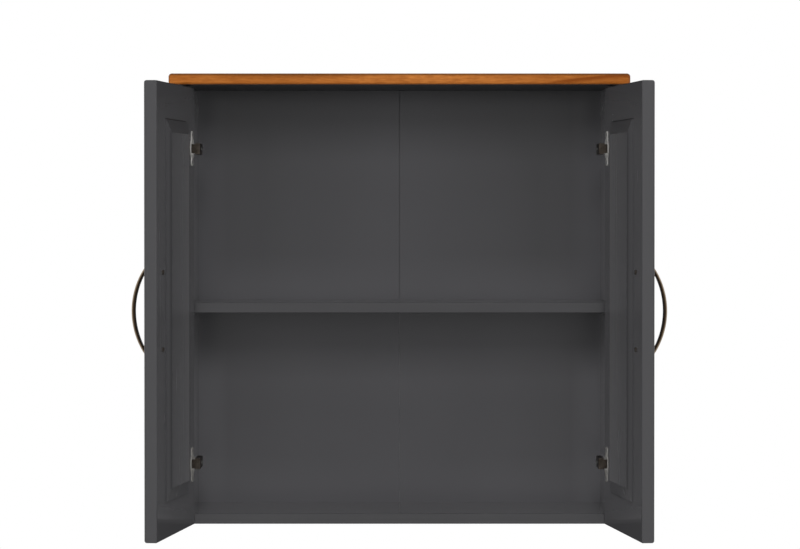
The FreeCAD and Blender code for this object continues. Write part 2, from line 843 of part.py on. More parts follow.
def door_nodes():
    """Pieces of the left door by name, standing open."""
    seats = [seat for z in hinge_z.values() for seat in cup_screw_seats(z)]
    cup_screws = [flat_head_screw(wood_screw, seat, TO_ROOM) for seat in seats]
    pieces = {
        "hinge_stile": hinge_stile(),
        "handle_stile": handle_stile(),
        "top_rail": top_rail(),
        "bottom_rail": bottom_rail(),
        "panel": door_panel(),
        "hinge_cup_upper": hinge_cup(hinge_z["upper"]),
        "hinge_cup_lower": hinge_cup(hinge_z["lower"]),
        "hinge_pins": Part.makeCompound([hinge_pin(z) for z in hinge_z.values()]),
        "cup_screws": Part.makeCompound(cup_screws),
        "handle": bow_handle(),
        "handle_screws": Part.makeCompound(handle_screws()),
    }
    return {name: swung_open(piece) for name, piece in pieces.items()}


def all_nodes():
    nodes = carcase_nodes()
    nodes["shelf"] = shelf()
    for name, piece in door_nodes().items():
        nodes[f"left_{name}"] = piece
        nodes[f"right_{name}"] = mirrored(piece)
    return nodes


os.makedirs("parts", exist_ok=True)
for node_name, node_shape in all_nodes().items():
    node_shape.exportStep(f"parts/{node_name}.step")
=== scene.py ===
import json
import math

import bpy
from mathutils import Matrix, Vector


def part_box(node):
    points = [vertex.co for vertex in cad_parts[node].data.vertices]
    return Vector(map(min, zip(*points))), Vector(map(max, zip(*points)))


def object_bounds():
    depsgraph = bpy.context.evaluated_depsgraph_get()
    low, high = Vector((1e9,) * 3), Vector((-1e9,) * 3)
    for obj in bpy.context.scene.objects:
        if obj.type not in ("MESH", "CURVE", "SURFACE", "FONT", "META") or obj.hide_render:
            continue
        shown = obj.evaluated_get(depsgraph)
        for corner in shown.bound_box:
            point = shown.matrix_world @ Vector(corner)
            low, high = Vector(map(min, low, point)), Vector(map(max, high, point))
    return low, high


# Finishes, camera and light for a wall cabinet whose solids come from the frame.
# Lengths are in metres. X runs to the right, Y towards the wall and Z up.

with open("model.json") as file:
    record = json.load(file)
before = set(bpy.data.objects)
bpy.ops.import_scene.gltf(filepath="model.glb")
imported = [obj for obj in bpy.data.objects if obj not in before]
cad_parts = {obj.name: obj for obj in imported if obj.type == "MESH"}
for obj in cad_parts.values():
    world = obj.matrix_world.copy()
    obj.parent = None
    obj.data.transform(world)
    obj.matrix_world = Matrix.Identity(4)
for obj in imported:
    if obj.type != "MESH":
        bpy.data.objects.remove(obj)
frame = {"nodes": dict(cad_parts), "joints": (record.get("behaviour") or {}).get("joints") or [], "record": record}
cad_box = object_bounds()
nodes = frame["nodes"]
slot_of = {row["node"]: row["material_slot"] for row in frame["record"]["subparts"]}
open_angle = math.radians(next(j["range_deg"][1] for j in frame["joints"] if j["type"] == "hinge"))

# Camera, with the picture's size, focal length and horizon in pixels
IMAGE_WIDTH, IMAGE_HEIGHT = 800, 549
FOCAL_PIXELS = 3730.0
HORIZON_ROW = 214.9
SENSOR_WIDTH_MM = 36.0
CAMERA_DISTANCE = 6.5
CAMERA_SIDE = 0.0010
EYE_HEIGHT = 0.539
CLIP_END = 100.0

# Studio
FLOOR_DROP = 1.4
FLOOR_RADIUS = 9.0
FLOOR_GREY = (0.60, 0.60, 0.60, 1.0)
FLOOR_GLOW = 0.55
RIM_START, RIM_END = 0.8, 0.8 * FLOOR_RADIUS
WHITE = (1.0, 1.0, 1.0, 1.0)
AMBIENT = 0.08
LAMP_DISTANCE = 5.2

# Directions
X_AXIS, Z_AXIS = 0, 2
TO_FRONT, TO_WALL = (0.0, -1.0, 0.0), (0.0, 1.0, 0.0)
UPWARD, DOWNWARD = (0.0, 0.0, 1.0), (0.0, 0.0, -1.0)

# Places that the finishes follow
door_span = tuple(corner.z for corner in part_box("left_hinge_stile"))
shelf_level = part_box("shelf")[0].z
bottom_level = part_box("bottom_panel")[1].z
door_reach = (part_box("left_handle_stile")[0].y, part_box("left_hinge_stile")[1].y)

# Node settings
NOISE_ROUGHNESS = 0.55
ARRIS_SAMPLES = 6


class NodeTree:
    """A node tree, with short calls that add nodes and hand back their outputs."""

    def __init__(self, tree):
        self.tree = tree

    def feed(self, socket, value):
        """Links an output to a socket, or sets the socket to a constant."""
        if isinstance(value, bpy.types.NodeSocket):
            self.tree.links.new(value, socket)
        else:
            socket.default_value = value

    def add(self, kind, inputs=(), **settings):
        """New node, with inputs by name or number."""
        node = self.tree.nodes.new(kind)
        for name, value in settings.items():
            setattr(node, name, value)
        for name, value in dict(inputs).items():
            self.feed(node.inputs[name], value)
        return node

    def apply(self, operation, first, second=0.0):
        return self.add("ShaderNodeMath", {0: first, 1: second}, operation=operation).outputs[0]

    def times(self, first, second):
        return self.apply("MULTIPLY", first, second)

    def dot(self, first, second):
        node = self.add("ShaderNodeVectorMath", {0: first, 1: second}, operation="DOT_PRODUCT")
        return node.outputs["Value"]

    def spread(self, value, low, high, to_low, to_high, **settings):
        """Value carried from one span to another, and held at the ends."""
        inputs = {"Value": value, "From Min": low, "From Max": high, "To Min": to_low, "To Max": to_high}
        return self.add("ShaderNodeMapRange", inputs, **settings).outputs[0]

    def spread_from(self, start, span, value, to_low, to_high):
        """Value carried from a span that is measured from a start."""
        low, high = span
        return self.spread(value, start + low, start + high, to_low, to_high)


class Finish(NodeTree):
    """One material, with calls for textures, for masks by place and for its surface."""

    def __init__(self, name, metallic=0.0, specular=0.5):
        self.material = bpy.data.materials.new(name)
        self.material.use_nodes = True
        super().__init__(self.material.node_tree)
        self.shader = self.tree.nodes["Principled BSDF"]
        self.shader.inputs["Metallic"].default_value = metallic
        self.shader.inputs["Specular IOR Level"].default_value = specular

    def place(self, size=(1.0, 1.0, 1.0), turn=0.0, shift=(0.0, 0.0, 0.0)):
        """Place on the piece, turned about Z and measured in features of the given size."""
        spot = self.add("ShaderNodeTexCoord").outputs["Object"]
        inputs = {"Vector": spot, "Location": shift, "Rotation": (0.0, 0.0, turn), "Scale": size}
        return self.add("ShaderNodeMapping", inputs, vector_type="TEXTURE").outputs[0]

    def axes(self):
        """X, Y and Z of the place on the piece."""
        return self.add("ShaderNodeSeparateXYZ", {"Vector": self.place()}).outputs

    def noise(self, vector, detail, distortion=0.0):
        inputs = {"Vector": vector, "Scale": 1.0, "Detail": detail, "Roughness": NOISE_ROUGHNESS,
                  "Distortion": distortion}
        return self.add("ShaderNodeTexNoise", inputs).outputs[0]

    def ramp(self, value, *stops):
        """Colours or greys at positions from 0 to 1."""
        node = self.add("ShaderNodeValToRGB", {"Fac": value})
        elements = node.color_ramp.elements
        while len(elements) < len(stops):
            elements.new(1.0)
        for element, (position, color) in zip(elements, stops):
            element.position = position
            element.color = (*color, 1.0) if isinstance(color, tuple) else (color, color, color, 1.0)
        return node.outputs["Color"]

    def mix(self, factor, first, second):
        """Colour between two, each an output or three numbers."""
        first, second = ((*color, 1.0) if isinstance(color, tuple) else color for color in (first, second))
        node = self.add("ShaderNodeMix", {0: factor, 6: first, 7: second}, data_type="RGBA")
        return node.outputs[2]

    def edges(self, radius, sharpness):
        """Mask that is 1 along arrises, where the rounded normal leaves the face's own."""
        rounded = self.add("ShaderNodeBevel", {"Radius": radius}, samples=ARRIS_SAMPLES).outputs[0]
        own = self.add("ShaderNodeNewGeometry").outputs["Normal"]
        return self.spread(self.dot(rounded, own), 1.0, 1.0 - sharpness, 0.0, 1.0)

    def facing(self, direction, low, high):
        """Mask that is 1 where the piece's surface looks in a direction of its own frame."""
        normal = self.add("ShaderNodeTexCoord").outputs["Normal"]
        return self.spread(self.dot(normal, direction), low, high, 0.0, 1.0)

    def bump(self, height, distance, normal=None):
        node = self.add("ShaderNodeBump", {"Height": height, "Distance": distance, "Strength": 1.0})
        if normal is not None:
            self.feed(node.inputs["Normal"], normal)
        return node.outputs[0]

    def done(self, color, roughness, normal):
        self.feed(self.shader.inputs["Base Color"], color)
        self.feed(self.shader.inputs["Roughness"], roughness)
        self.feed(self.shader.inputs["Normal"], normal)
        return self.material


def even(size):
    """Size of a feature that is alike in every direction."""
    return (size, size, size)


def along(direction, size):
    """Size of a feature with its length in one direction, X_AXIS or Z_AXIS, and its width in the others."""
    length, width = size
    return tuple(length if axis == direction else width for axis in range(3))


# Grey lacquer
LACQUER_GLOSS = 0.33
LACQUER_DARK, LACQUER_LIGHT = (0.0380, 0.0375, 0.0403), (0.0412, 0.0407, 0.0435)
RUBBED_GREY = (0.080, 0.079, 0.080)
# Painted light: paler greys for the inner faces of doors and side panels and the upper faces of the other boards
DOOR_INSIDE_PAINTED_LIGHT = (0.110, 0.109, 0.114)
SIDE_INSIDE_PAINTED_LIGHT = (0.172, 0.171, 0.177)
BOARD_UPPER_PAINTED_LIGHT = (0.127, 0.126, 0.131)
CLOUD_SIZE, PEEL_SIZE = 0.16, 0.0018
GRAIN_SIZE, FIBRE_SIZE = (0.26, 0.0045), (0.02, 0.0006)
GRAIN_RELIEF, FIBRE_RELIEF, PEEL_RELIEF = 0.00003, 0.00001, 0.00001
RUBBED_RADIUS = 0.0012
DOOR_ROUGHNESS, BOARD_ROUGHNESS = 0.23, 0.12
ROUGHNESS_RANGE = 0.05

# Painted shade and gloss by place on a door, with heights above its foot and below its head
FOOT_AND_HEAD_PAINTED_SHADE = (0.060, 0.059, 0.063)
END_PAINTED_SHADE = (0.0420, 0.0415, 0.0440)
FOOT_HEIGHT, FOOT_RISE = 0.0338, 0.0345
DULL_SPAN, PAINTED_SHADE_SPAN = (0.006, 0.050), (-0.001, 0.003)
PAINTED_SHADE_SHARE = 0.4
HEAD_DROP, HEAD_BLUR = 0.026, 0.06

# Painted shade and light on the inner side of a door panel: shade on the top bevel, light on the field and a
# shadow line beside the field
TOP_BEVEL_PAINTED_SHADE = (0.066, 0.065, 0.068)
FIELD_PAINTED_LIGHT = (0.165, 0.164, 0.169)
SHADE_LINE_PAINTED_GREY = (0.014, 0.014, 0.015)
FIELD_DEPTH, BEVEL_WIDTH = 0.0002, 0.022
SHADE_LINE_WIDTH, SHADE_LINE_BLUR = 0.006, 0.004
SHADE_LINE_SHARE, SHADE_LINE_DULLNESS = 0.42, 0.3


def end_of(inward):
    """Direction that the free end of an open door looks in."""
    return Vector((inward.y, -inward.x, 0.0)) * math.copysign(1.0, inward.x)


def raised_field(panel, inward):
    """Reach and height of the flat field on a door panel's inner side, each from low to high."""
    spots = [vertex.co for vertex in panel.data.vertices]
    face = max(spot.dot(inward) for spot in spots)
    field = [spot for spot in spots if spot.dot(inward) > face - FIELD_DEPTH]
    reach = [spot.dot(end_of(inward)) for spot in field]
    height = [spot.z for spot in field]
    return min(reach), max(reach), min(height), max(height)


def foot_and_head(finish, inward):
    """Two masks for the foot and the head of a door: where it loses its gloss and where it gets painted shade."""
    _, y, z = finish.axes()
    foot, head = door_span
    slant = finish.apply("SUBTRACT", z, finish.spread(y, *door_reach, 0.0, HEAD_DROP))
    at_head = finish.spread(slant, head - HEAD_DROP - HEAD_BLUR, head - HEAD_DROP, 0.0, 1.0)
    at_head = finish.apply("SUBTRACT", at_head, finish.facing(end_of(inward), 0.3, 0.7))
    slant = finish.apply("ADD", z, finish.spread(y, *door_reach, 0.0, FOOT_RISE))
    inner = finish.facing(inward, 0.3, 0.7)
    masks = []
    for span in (DULL_SPAN, PAINTED_SHADE_SPAN):
        at_foot = finish.times(finish.spread_from(foot + FOOT_HEIGHT, span, slant, 1.0, 0.0), inner)
        masks.append(finish.apply("MAXIMUM", at_foot, at_head))
    return masks


def on_panel(finish, color, inward, panel):
    """Colour with painted shade on the top bevel of a door panel's inner side, painted light on its field that
    grows towards the hinge end, and a painted shadow line beside the field; and the mask of that line.
    """
    far, near, low, high = raised_field(panel, inward)
    _, _, z = finish.axes()
    reach = finish.dot(finish.place(), end_of(inward))
    # Painted shade on the upward-facing top bevel
    shaded_top_bevel = finish.times(finish.facing(UPWARD, 0.08, 0.2),
                         finish.spread(z, high, high + BEVEL_WIDTH, 0.55, 1.0))
    color = finish.mix(shaded_top_bevel, color, TOP_BEVEL_PAINTED_SHADE)
    # Painted light on the field, paler towards the hinge end, standing in for a reflection of the interior
    field = finish.times(finish.facing(inward, 0.985, 0.998), finish.spread(reach, near, far, 0.0, 1.0))
    color = finish.mix(field, color, FIELD_PAINTED_LIGHT)
    # Painted shadow line beside the field, on its side towards the free end
    beside = finish.apply("ABSOLUTE", finish.apply("SUBTRACT", reach, near + SHADE_LINE_WIDTH / 2))
    shade_line = finish.spread(beside, SHADE_LINE_WIDTH / 4, SHADE_LINE_WIDTH, 1.0, 0.0)
    half = (high - low) / 2
    level = finish.apply("ABSOLUTE", finish.apply("SUBTRACT", z, (low + high) / 2))
    shade_line = finish.times(shade_line, finish.spread(level, half, half + SHADE_LINE_BLUR, 1.0, 0.0))
    shade_line = finish.times(shade_line, finish.facing(inward, -0.5, -0.1))
    return finish.mix(finish.times(shade_line, SHADE_LINE_SHARE), color, SHADE_LINE_PAINTED_GREY), shade_line


def on_door(finish, color, inward, panel):
    """Colour with the painted shade by place on a door, whose gloss is set by place too."""
    dull, dark = foot_and_head(finish, inward)
    # Painted shade at the foot of the inner side and at the head of the door
    color = finish.mix(finish.times(dark, PAINTED_SHADE_SHARE), color, FOOT_AND_HEAD_PAINTED_SHADE)
    # Painted shade: an even grey on the door's end faces
    color = finish.mix(finish.facing(end_of(inward), 0.8, 0.95), color, END_PAINTED_SHADE)
    if panel:
        color, shade_line = on_panel(finish, color, inward, panel)
        # Gloss is taken away along the painted shadow line
        dull = finish.apply("MAXIMUM", dull, finish.times(shade_line, SHADE_LINE_DULLNESS))
    gloss = finish.spread(dull, 0.0, 1.0, LACQUER_GLOSS, 0.0)
    finish.feed(finish.shader.inputs["Specular IOR Level"], gloss)
    return color


def grey_lacquer(name, direction, turn, shift, inward, panel):
    """Satin anthracite lacquer with a faint relief of grain, and painted light that makes the side towards the
    inside paler.
    """
    finish = Finish(name, specular=LACQUER_GLOSS)
    clouds = finish.noise(finish.place(even(CLOUD_SIZE), turn, shift), detail=2.0)
    lengthwise = finish.place(along(direction, GRAIN_SIZE), turn, shift)
    grain = finish.noise(lengthwise, detail=4.0, distortion=0.4)
    fibre = finish.noise(finish.place(along(direction, FIBRE_SIZE), turn, shift), detail=2.0)
    peel = finish.noise(finish.place(even(PEEL_SIZE), turn, shift), detail=1.0)
    color = finish.ramp(clouds, (0.3, LACQUER_DARK), (0.7, LACQUER_LIGHT))
    color = finish.mix(0.06, color, finish.ramp(grain, (0.35, 0.025), (0.65, 0.075)))
    rubbed = finish.edges(RUBBED_RADIUS, 0.35)
    color = finish.mix(finish.times(rubbed, 0.12), color, RUBBED_GREY)
    least = DOOR_ROUGHNESS if turn else BOARD_ROUGHNESS
    roughness = finish.spread(finish.apply("ADD", grain, clouds), 0.6, 1.4, least, least + ROUGHNESS_RANGE)
    normal = finish.bump(grain, GRAIN_RELIEF)
    normal = finish.bump(fibre, FIBRE_RELIEF, normal)
    normal = finish.bump(peel, PEEL_RELIEF, normal)
    # Painted light: the side towards the inside is made paler
    if turn:
        inside_painted_light = DOOR_INSIDE_PAINTED_LIGHT
    elif direction == Z_AXIS:
        inside_painted_light = SIDE_INSIDE_PAINTED_LIGHT
    else:
        inside_painted_light = BOARD_UPPER_PAINTED_LIGHT
    color = finish.mix(finish.facing(inward, 0.955, 0.985), color, inside_painted_light)
    if turn:
        color = on_door(finish, color, inward, panel)
    return finish.done(color, roughness, normal)


# Oiled pine
HONEY_DARK, HONEY_PALE, HONEY = (0.38, 0.125, 0.025), (0.53, 0.190, 0.041), (0.43, 0.147, 0.029)
MOTTLE_BROWN = (0.25, 0.074, 0.012)
FLECK_BROWN, FLECK_HONEY = (0.22, 0.062, 0.010), (0.62, 0.245, 0.062)
LATE_BROWN, FIBRE_BROWN = (0.23, 0.060, 0.008), (0.20, 0.055, 0.009)
STAVE_HONEY = (0.55, 0.22, 0.05)
STREAK_BROWN, ARRIS_PAINTED_SHADE = (0.165, 0.037, 0.003), (0.10, 0.034, 0.006)
UNDERSIDE_GREY_PAINTED_SHADE = (0.056, 0.056, 0.060)
STAVE_WIDTH = 0.107
RING_WIDTH, RING_TAPER, RING_WANDER = 0.0052, 0.035, 0.045
PITH_DEPTH = (-0.03, 0.02)
LATE_RELIEF, PORE_RELIEF = 0.00009, 0.00007

# Stain along the top board, with its places in X and Z
STAIN_BROWN = (0.23, 0.064, 0.008)
UPPER_BROWN = (0.17, 0.050, 0.008)
RIGHT_BROWN = (0.20, 0.055, 0.006)
BOARD_SPAN = (-0.4, 0.4)
UPPER_MIDDLE, UPPER_REACH = -0.19, (0.08, 0.18)
UPPER_LEVEL = (0.0695, 0.0765)
RIGHT_SPAN = (0.18, 0.34)
STREAK_FROM, STREAK_TO = (0.252, 0.0642), (0.374, 0.0776)
STREAK_WANDER = 0.0015
STREAK_START = (-0.01, 0.04)
STREAK_TOP, STREAK_FOOT = (-0.0005, 0.0012), (-0.0075, -0.0030)
STREAK_SHARE = 0.85


def growth_rings(finish, wander):
    """Late wood of the growth rings, and a number from 0 to 1 for each stave."""
    x, y, z = finish.axes()
    stave = finish.apply("FLOOR", finish.apply("DIVIDE", y, STAVE_WIDTH))
    chance = finish.add("ShaderNodeTexWhiteNoise", {"W": stave}, noise_dimensions="1D").outputs["Value"]
    pith = finish.times(finish.apply("ADD", stave, chance), STAVE_WIDTH)
    across = finish.apply("SUBTRACT", y, pith)
    depth = finish.apply("ADD", z, finish.spread(chance, 0.0, 1.0, *PITH_DEPTH))
    square = finish.apply("ADD", finish.times(across, across), finish.times(depth, depth))
    radius = finish.apply("ADD", finish.apply("SQRT", square), finish.times(x, RING_TAPER))
    radius = finish.apply("ADD", radius, finish.times(wander, RING_WANDER))
    ring = finish.apply("FRACT", finish.apply("DIVIDE", radius, RING_WIDTH))
    return finish.ramp(ring, (0.0, 0.0), (0.45, 0.12), (0.86, 1.0), (1.0, 0.05)), chance


def honey_brown(finish):
    """Honey brown in soft patches, with mottles and flecks."""
    patches = finish.noise(finish.place((0.11, 0.02, 0.02)), detail=3.0, distortion=0.6)
    color = finish.ramp(patches, (0.30, HONEY_DARK), (0.52, HONEY_PALE), (0.75, HONEY))
    mottle = finish.noise(finish.place((0.034, 0.012, 0.007)), detail=3.0, distortion=0.8)
    color = finish.mix(finish.spread(mottle, 0.40, 0.70, 0.0, 0.55), color, MOTTLE_BROWN)
    flecks = finish.noise(finish.place((0.013, 0.006, 0.0028)), detail=2.0, distortion=0.5)
    color = finish.mix(finish.spread(flecks, 0.46, 0.72, 0.0, 0.45), color, FLECK_BROWN)
    return finish.mix(finish.spread(flecks, 0.30, 0.46, 0.25, 0.0), color, FLECK_HONEY)


def stained(finish, color, in_front):
    """Colour with the darker and paler stretches of the stain along the board."""
    x, _, z = finish.axes()
    brown = finish.ramp(finish.spread(x, *BOARD_SPAN, 0.0, 1.0),
                        (0.04, 0.33), (0.17, 0.52), (0.35, 0.41), (0.47, 0.03), (0.95, 0.5))
    color = finish.mix(brown, color, STAIN_BROWN)
    beside = finish.apply("ABSOLUTE", finish.apply("SUBTRACT", x, UPPER_MIDDLE))
    upper = finish.times(finish.spread(z, *UPPER_LEVEL, 0.0, 0.65),
                         finish.spread(beside, *UPPER_REACH, 1.0, 0.0))
    color = finish.mix(finish.times(upper, in_front), color, UPPER_BROWN)
    return finish.mix(finish.spread(x, *RIGHT_SPAN, 0.0, 0.25), color, RIGHT_BROWN)


def dark_streak(finish, wander):
    """Mask of a dark streak that climbs to the right, sharp above and soft below."""
    x, _, z = finish.axes()
    (from_x, from_z), (to_x, to_z) = STREAK_FROM, STREAK_TO
    slant = finish.apply("SUBTRACT", z, finish.spread(x, from_x, to_x, from_z, to_z))
    slant = finish.apply("ADD", slant, finish.spread(wander, 0.3, 0.7, -STREAK_WANDER, STREAK_WANDER))
    streak = finish.apply("MINIMUM", finish.spread(slant, *STREAK_TOP, STREAK_SHARE, 0.0),
                          finish.spread(slant, *STREAK_FOOT, 0.0, STREAK_SHARE))
    return finish.times(streak, finish.spread_from(from_x, STREAK_START, x, 0.0, 1.0))


def oiled_pine():
    """Edge-glued pine staves with growth rings, stained honey brown and oiled, with painted shade on the rounded
    arrises and a grey underside darkened as painted shade.
    """
    finish = Finish("oiled_pine", specular=0.10)
    wander = finish.noise(finish.place((0.30, 0.05, 0.05)), detail=3.0)
    late, chance = growth_rings(finish, wander)
    fibre = finish.noise(finish.place((0.045, 0.0009, 0.0009)), detail=4.0)
    color = finish.mix(finish.times(late, 0.34), honey_brown(finish), LATE_BROWN)
    color = finish.mix(finish.spread(fibre, 0.45, 0.75, 0.0, 0.30), color, FIBRE_BROWN)
    in_front = finish.facing(TO_FRONT, 0.2, 0.8)
    color = stained(finish, color, in_front)
    color = finish.mix(finish.spread(chance, 0.0, 1.0, 0.0, 0.14), color, STAVE_HONEY)
    color = finish.mix(finish.times(dark_streak(finish, wander), in_front), color, STREAK_BROWN)
    # Painted shade on the rounded arrises above and below the front face
    arris = finish.ramp(finish.facing(UPWARD, -1.0, 1.0), (0.0, 1.0), (0.12, 0.6), (0.30, 0.0),
                        (0.64, 0.0), (0.82, 0.75), (0.95, 0.75), (1.0, 0.0))
    color = finish.mix(arris, color, ARRIS_PAINTED_SHADE)
    # Grey underside, made dark as painted shade
    color = finish.mix(finish.facing(DOWNWARD, 0.75, 0.95), color, UNDERSIDE_GREY_PAINTED_SHADE)
    roughness = finish.spread(late, 0.0, 1.0, 0.46, 0.36)
    normal = finish.bump(late, LATE_RELIEF)
    normal = finish.bump(fibre, PORE_RELIEF, normal)
    return finish.done(color, roughness, normal)


# Hardboard back, with painted shade and painted light laid by places out from the seam and heights above the shelf
# or the bottom panel
BACK_DARK, BACK_LIGHT = (0.0610, 0.0600, 0.0650), (0.0650, 0.0640, 0.0690)
BACK_PAINTED_SHADE = (0.0370, 0.0365, 0.0390)
EDGE_PAINTED_LIGHT, LOW_EDGE_PAINTED_LIGHT = (0.0670, 0.0660, 0.0710), (0.0820, 0.0810, 0.0865)
RAW_DARK, RAW_LIGHT = (0.13, 0.070, 0.030), (0.26, 0.155, 0.075)
BACK_CLOUDS, SPECKLE_SIZE = 0.22, 0.0016
SPECKLE_RELIEF = 0.00003
HALF_MIDDLE, HALF_REACH = 0.25, 0.22
SHADE_SIDES = (-0.3, 0.3)
SHADE_ABOVE, SHADE_HIGH, SHADE_BELOW = (0.015, 0.10), (0.20, 0.36), (-0.115, -0.065)
SHADE_FOOT = (0.026, 0.086)
EDGE_SPAN, LOW_EDGE_TOP = (0.310, 0.362), (-0.02, 0.0)


def painted_back_shade(finish):
    """Mask of painted shade in the middle of the back's halves, above and below the shelf."""
    x, _, z = finish.axes()
    out = finish.apply("ABSOLUTE", x)
    beside = finish.apply("ABSOLUTE", finish.apply("SUBTRACT", out, HALF_MIDDLE))
    shade = finish.times(finish.spread(beside, 0.0, HALF_REACH, 1.0, 0.35),
                         finish.spread(x, *SHADE_SIDES, 0.85, 1.0))
    above = finish.apply("ADD", finish.spread_from(shelf_level, SHADE_ABOVE, z, 0.0, 0.9),
                         finish.spread_from(shelf_level, SHADE_HIGH, z, 0.0, 0.35))
    below = finish.times(finish.spread_from(shelf_level, SHADE_BELOW, z, 0.45, 0.0),
                         finish.spread_from(bottom_level, SHADE_FOOT, z, 0.0, 1.0))
    return finish.times(shade, finish.apply("ADD", above, below))


def grey_hardboard():
    """Thin board lacquered grey in front, with painted shade in the middle of its halves and painted light towards
    its sides, and its raw brown fibre showing at the rear.
    """
    finish = Finish("grey_hardboard", specular=0.30)
    clouds = finish.noise(finish.place(even(BACK_CLOUDS)), detail=2.0)
    speckle = finish.noise(finish.place(even(SPECKLE_SIZE)), detail=2.0)
    lacquer = finish.ramp(clouds, (0.3, BACK_DARK), (0.7, BACK_LIGHT))
    # Painted shade in the middle of each half of the back
    lacquer = finish.mix(painted_back_shade(finish), lacquer, BACK_PAINTED_SHADE)
    x, _, z = finish.axes()
    # Painted light towards the sides of the back, more so below the shelf
    edge = finish.spread(finish.apply("ABSOLUTE", x), *EDGE_SPAN, 0.0, 1.0)
    lacquer = finish.mix(edge, lacquer, EDGE_PAINTED_LIGHT)
    edge = finish.times(edge, finish.spread_from(shelf_level, LOW_EDGE_TOP, z, 1.0, 0.0))
    lacquer = finish.mix(edge, lacquer, LOW_EDGE_PAINTED_LIGHT)
    fibre = finish.noise(finish.place((0.010, 0.010, 0.003)), detail=5.0)
    raw = finish.ramp(fibre, (0.3, RAW_DARK), (0.7, RAW_LIGHT))
    at_rear = finish.facing(TO_WALL, 0.4, 0.6)
    color = finish.mix(at_rear, lacquer, raw)
    roughness = finish.apply("ADD", finish.spread(speckle, 0.3, 0.7, 0.16, 0.22), finish.times(at_rear, 0.6))
    return finish.done(color, roughness, finish.bump(speckle, SPECKLE_RELIEF))


# Tape behind the seam, with heights above the shelf
TAPE_DARK, TAPE_LIGHT = 0.030, 0.050
SLOT_PAINTED_LIGHT_GREY = (0.24, 0.24, 0.25)
WEAVE_SIZE, WEAVE_RELIEF = 0.0009, 0.00006
SLOT_PAINTED_LIGHT_TOP, RUBBED_SPAN = (-0.01, 0.0), (-0.12, -0.09)


def seam_tape():
    """Dark cloth tape with a fine weave, made pale in front below the shelf as painted light in the shaded slot,
    and rubbed smooth close under it.
    """
    finish = Finish("seam_tape", specular=0.85)
    weave = finish.add("ShaderNodeTexChecker", {"Vector": finish.place(even(WEAVE_SIZE)), "Scale": 1.0})
    worn = finish.noise(finish.place((0.02, 0.02, 0.05)), detail=4.0)
    _, _, z = finish.axes()
    # Painted light: the front of the tape is paler below the shelf, where the slot lies in shade
    slot_painted_light = finish.times(finish.spread_from(shelf_level, SLOT_PAINTED_LIGHT_TOP, z, 1.0, 0.0),
                         finish.facing(TO_FRONT, 0.5, 0.9))
    color = finish.mix(slot_painted_light, finish.ramp(worn, (0.3, TAPE_DARK), (0.75, TAPE_LIGHT)), SLOT_PAINTED_LIGHT_GREY)
    rubbed = finish.times(slot_painted_light, finish.spread_from(shelf_level, RUBBED_SPAN, z, 0.0, 1.0))
    roughness = finish.times(finish.spread(worn, 0.3, 0.7, 0.6, 0.8),
                             finish.spread(rubbed, 0.0, 1.0, 1.0, 0.1))
    return finish.done(color, roughness, finish.bump(weave.outputs["Fac"], WEAVE_RELIEF))


# Beech of the dowels
BEECH_DARK, BEECH_LIGHT = (0.36, 0.22, 0.11), (0.58, 0.39, 0.22)
BEECH_RELIEF = 0.00005


def beech():
    """Plain turned beech with fine flecks."""
    finish = Finish("beech", specular=0.3)
    flecks = finish.noise(finish.place((0.0012, 0.0012, 0.006)), detail=3.0)
    color = finish.ramp(flecks, (0.35, BEECH_DARK), (0.65, BEECH_LIGHT))
    roughness = finish.spread(flecks, 0.3, 0.7, 0.5, 0.65)
    return finish.done(color, roughness, finish.bump(flecks, BEECH_RELIEF))


# Metals
SMUDGE_SIZE, DRAWN_SIZE = 0.006, (0.0005, 0.0005, 0.012)
DRAWN_RELIEF, PIT_RELIEF = 0.00001, 0.00004
BRIGHT_RADIUS = 0.0004
PIT_SIZE = 0.0011
PATINA_DARK, PATINA_LIGHT = (0.014, 0.008, 0.004), (0.040, 0.024, 0.012)
WORN_PATINA, RUBBED_BRASS = (0.075, 0.066, 0.058), (0.32, 0.25, 0.175)


def plated_steel(name, light, dark, roughness, spangle=0.004, metallic=1.0):
    """Plated metal with faint crystals, smudges and lighter arrises."""
    finish = Finish(name, metallic=metallic)
    crystals = finish.add("ShaderNodeTexVoronoi", {"Vector": finish.place(even(spangle)), "Scale": 1.0})
    shade = finish.add("ShaderNodeSeparateColor", {"Color": crystals.outputs["Color"]}).outputs[0]
    smudges = finish.noise(finish.place(even(SMUDGE_SIZE)), detail=4.0)
    drawn = finish.noise(finish.place(DRAWN_SIZE), detail=2.0)
    color = finish.mix(finish.spread(smudges, 0.35, 0.7, 0.0, 1.0), light, dark)
    color = finish.mix(finish.times(shade, 0.15), color, dark)
    color = finish.mix(finish.times(finish.edges(BRIGHT_RADIUS, 0.4), 0.4), color, light)
    rough = finish.apply("ADD", finish.spread(smudges, 0.3, 0.7, roughness, roughness + 0.12),
                         finish.times(drawn, 0.05))
    return finish.done(color, rough, finish.bump(drawn, DRAWN_RELIEF))


def antique_brass(name, outward, worn):
    """Brown patina, rubbed to dull brass where the front of the bow faces outward."""
    finish = Finish(name, metallic=1.0)
    smudges = finish.noise(finish.place((0.007, 0.007, 0.016)), detail=5.0)
    pits = finish.noise(finish.place(even(PIT_SIZE)), detail=2.0)
    rubbed = finish.times(finish.facing(outward, 0.0, 0.4), finish.spread(smudges, 0.25, 0.6, 0.7, 1.0))
    patina = finish.ramp(smudges, (0.3, PATINA_DARK), (0.7, PATINA_LIGHT))
    patina = finish.mix(worn, patina, WORN_PATINA)
    color = finish.mix(rubbed, patina, RUBBED_BRASS)
    roughness = finish.spread(smudges, 0.3, 0.7, 0.36, 0.50)
    return finish.done(color, roughness, finish.bump(pits, PIT_RELIEF))


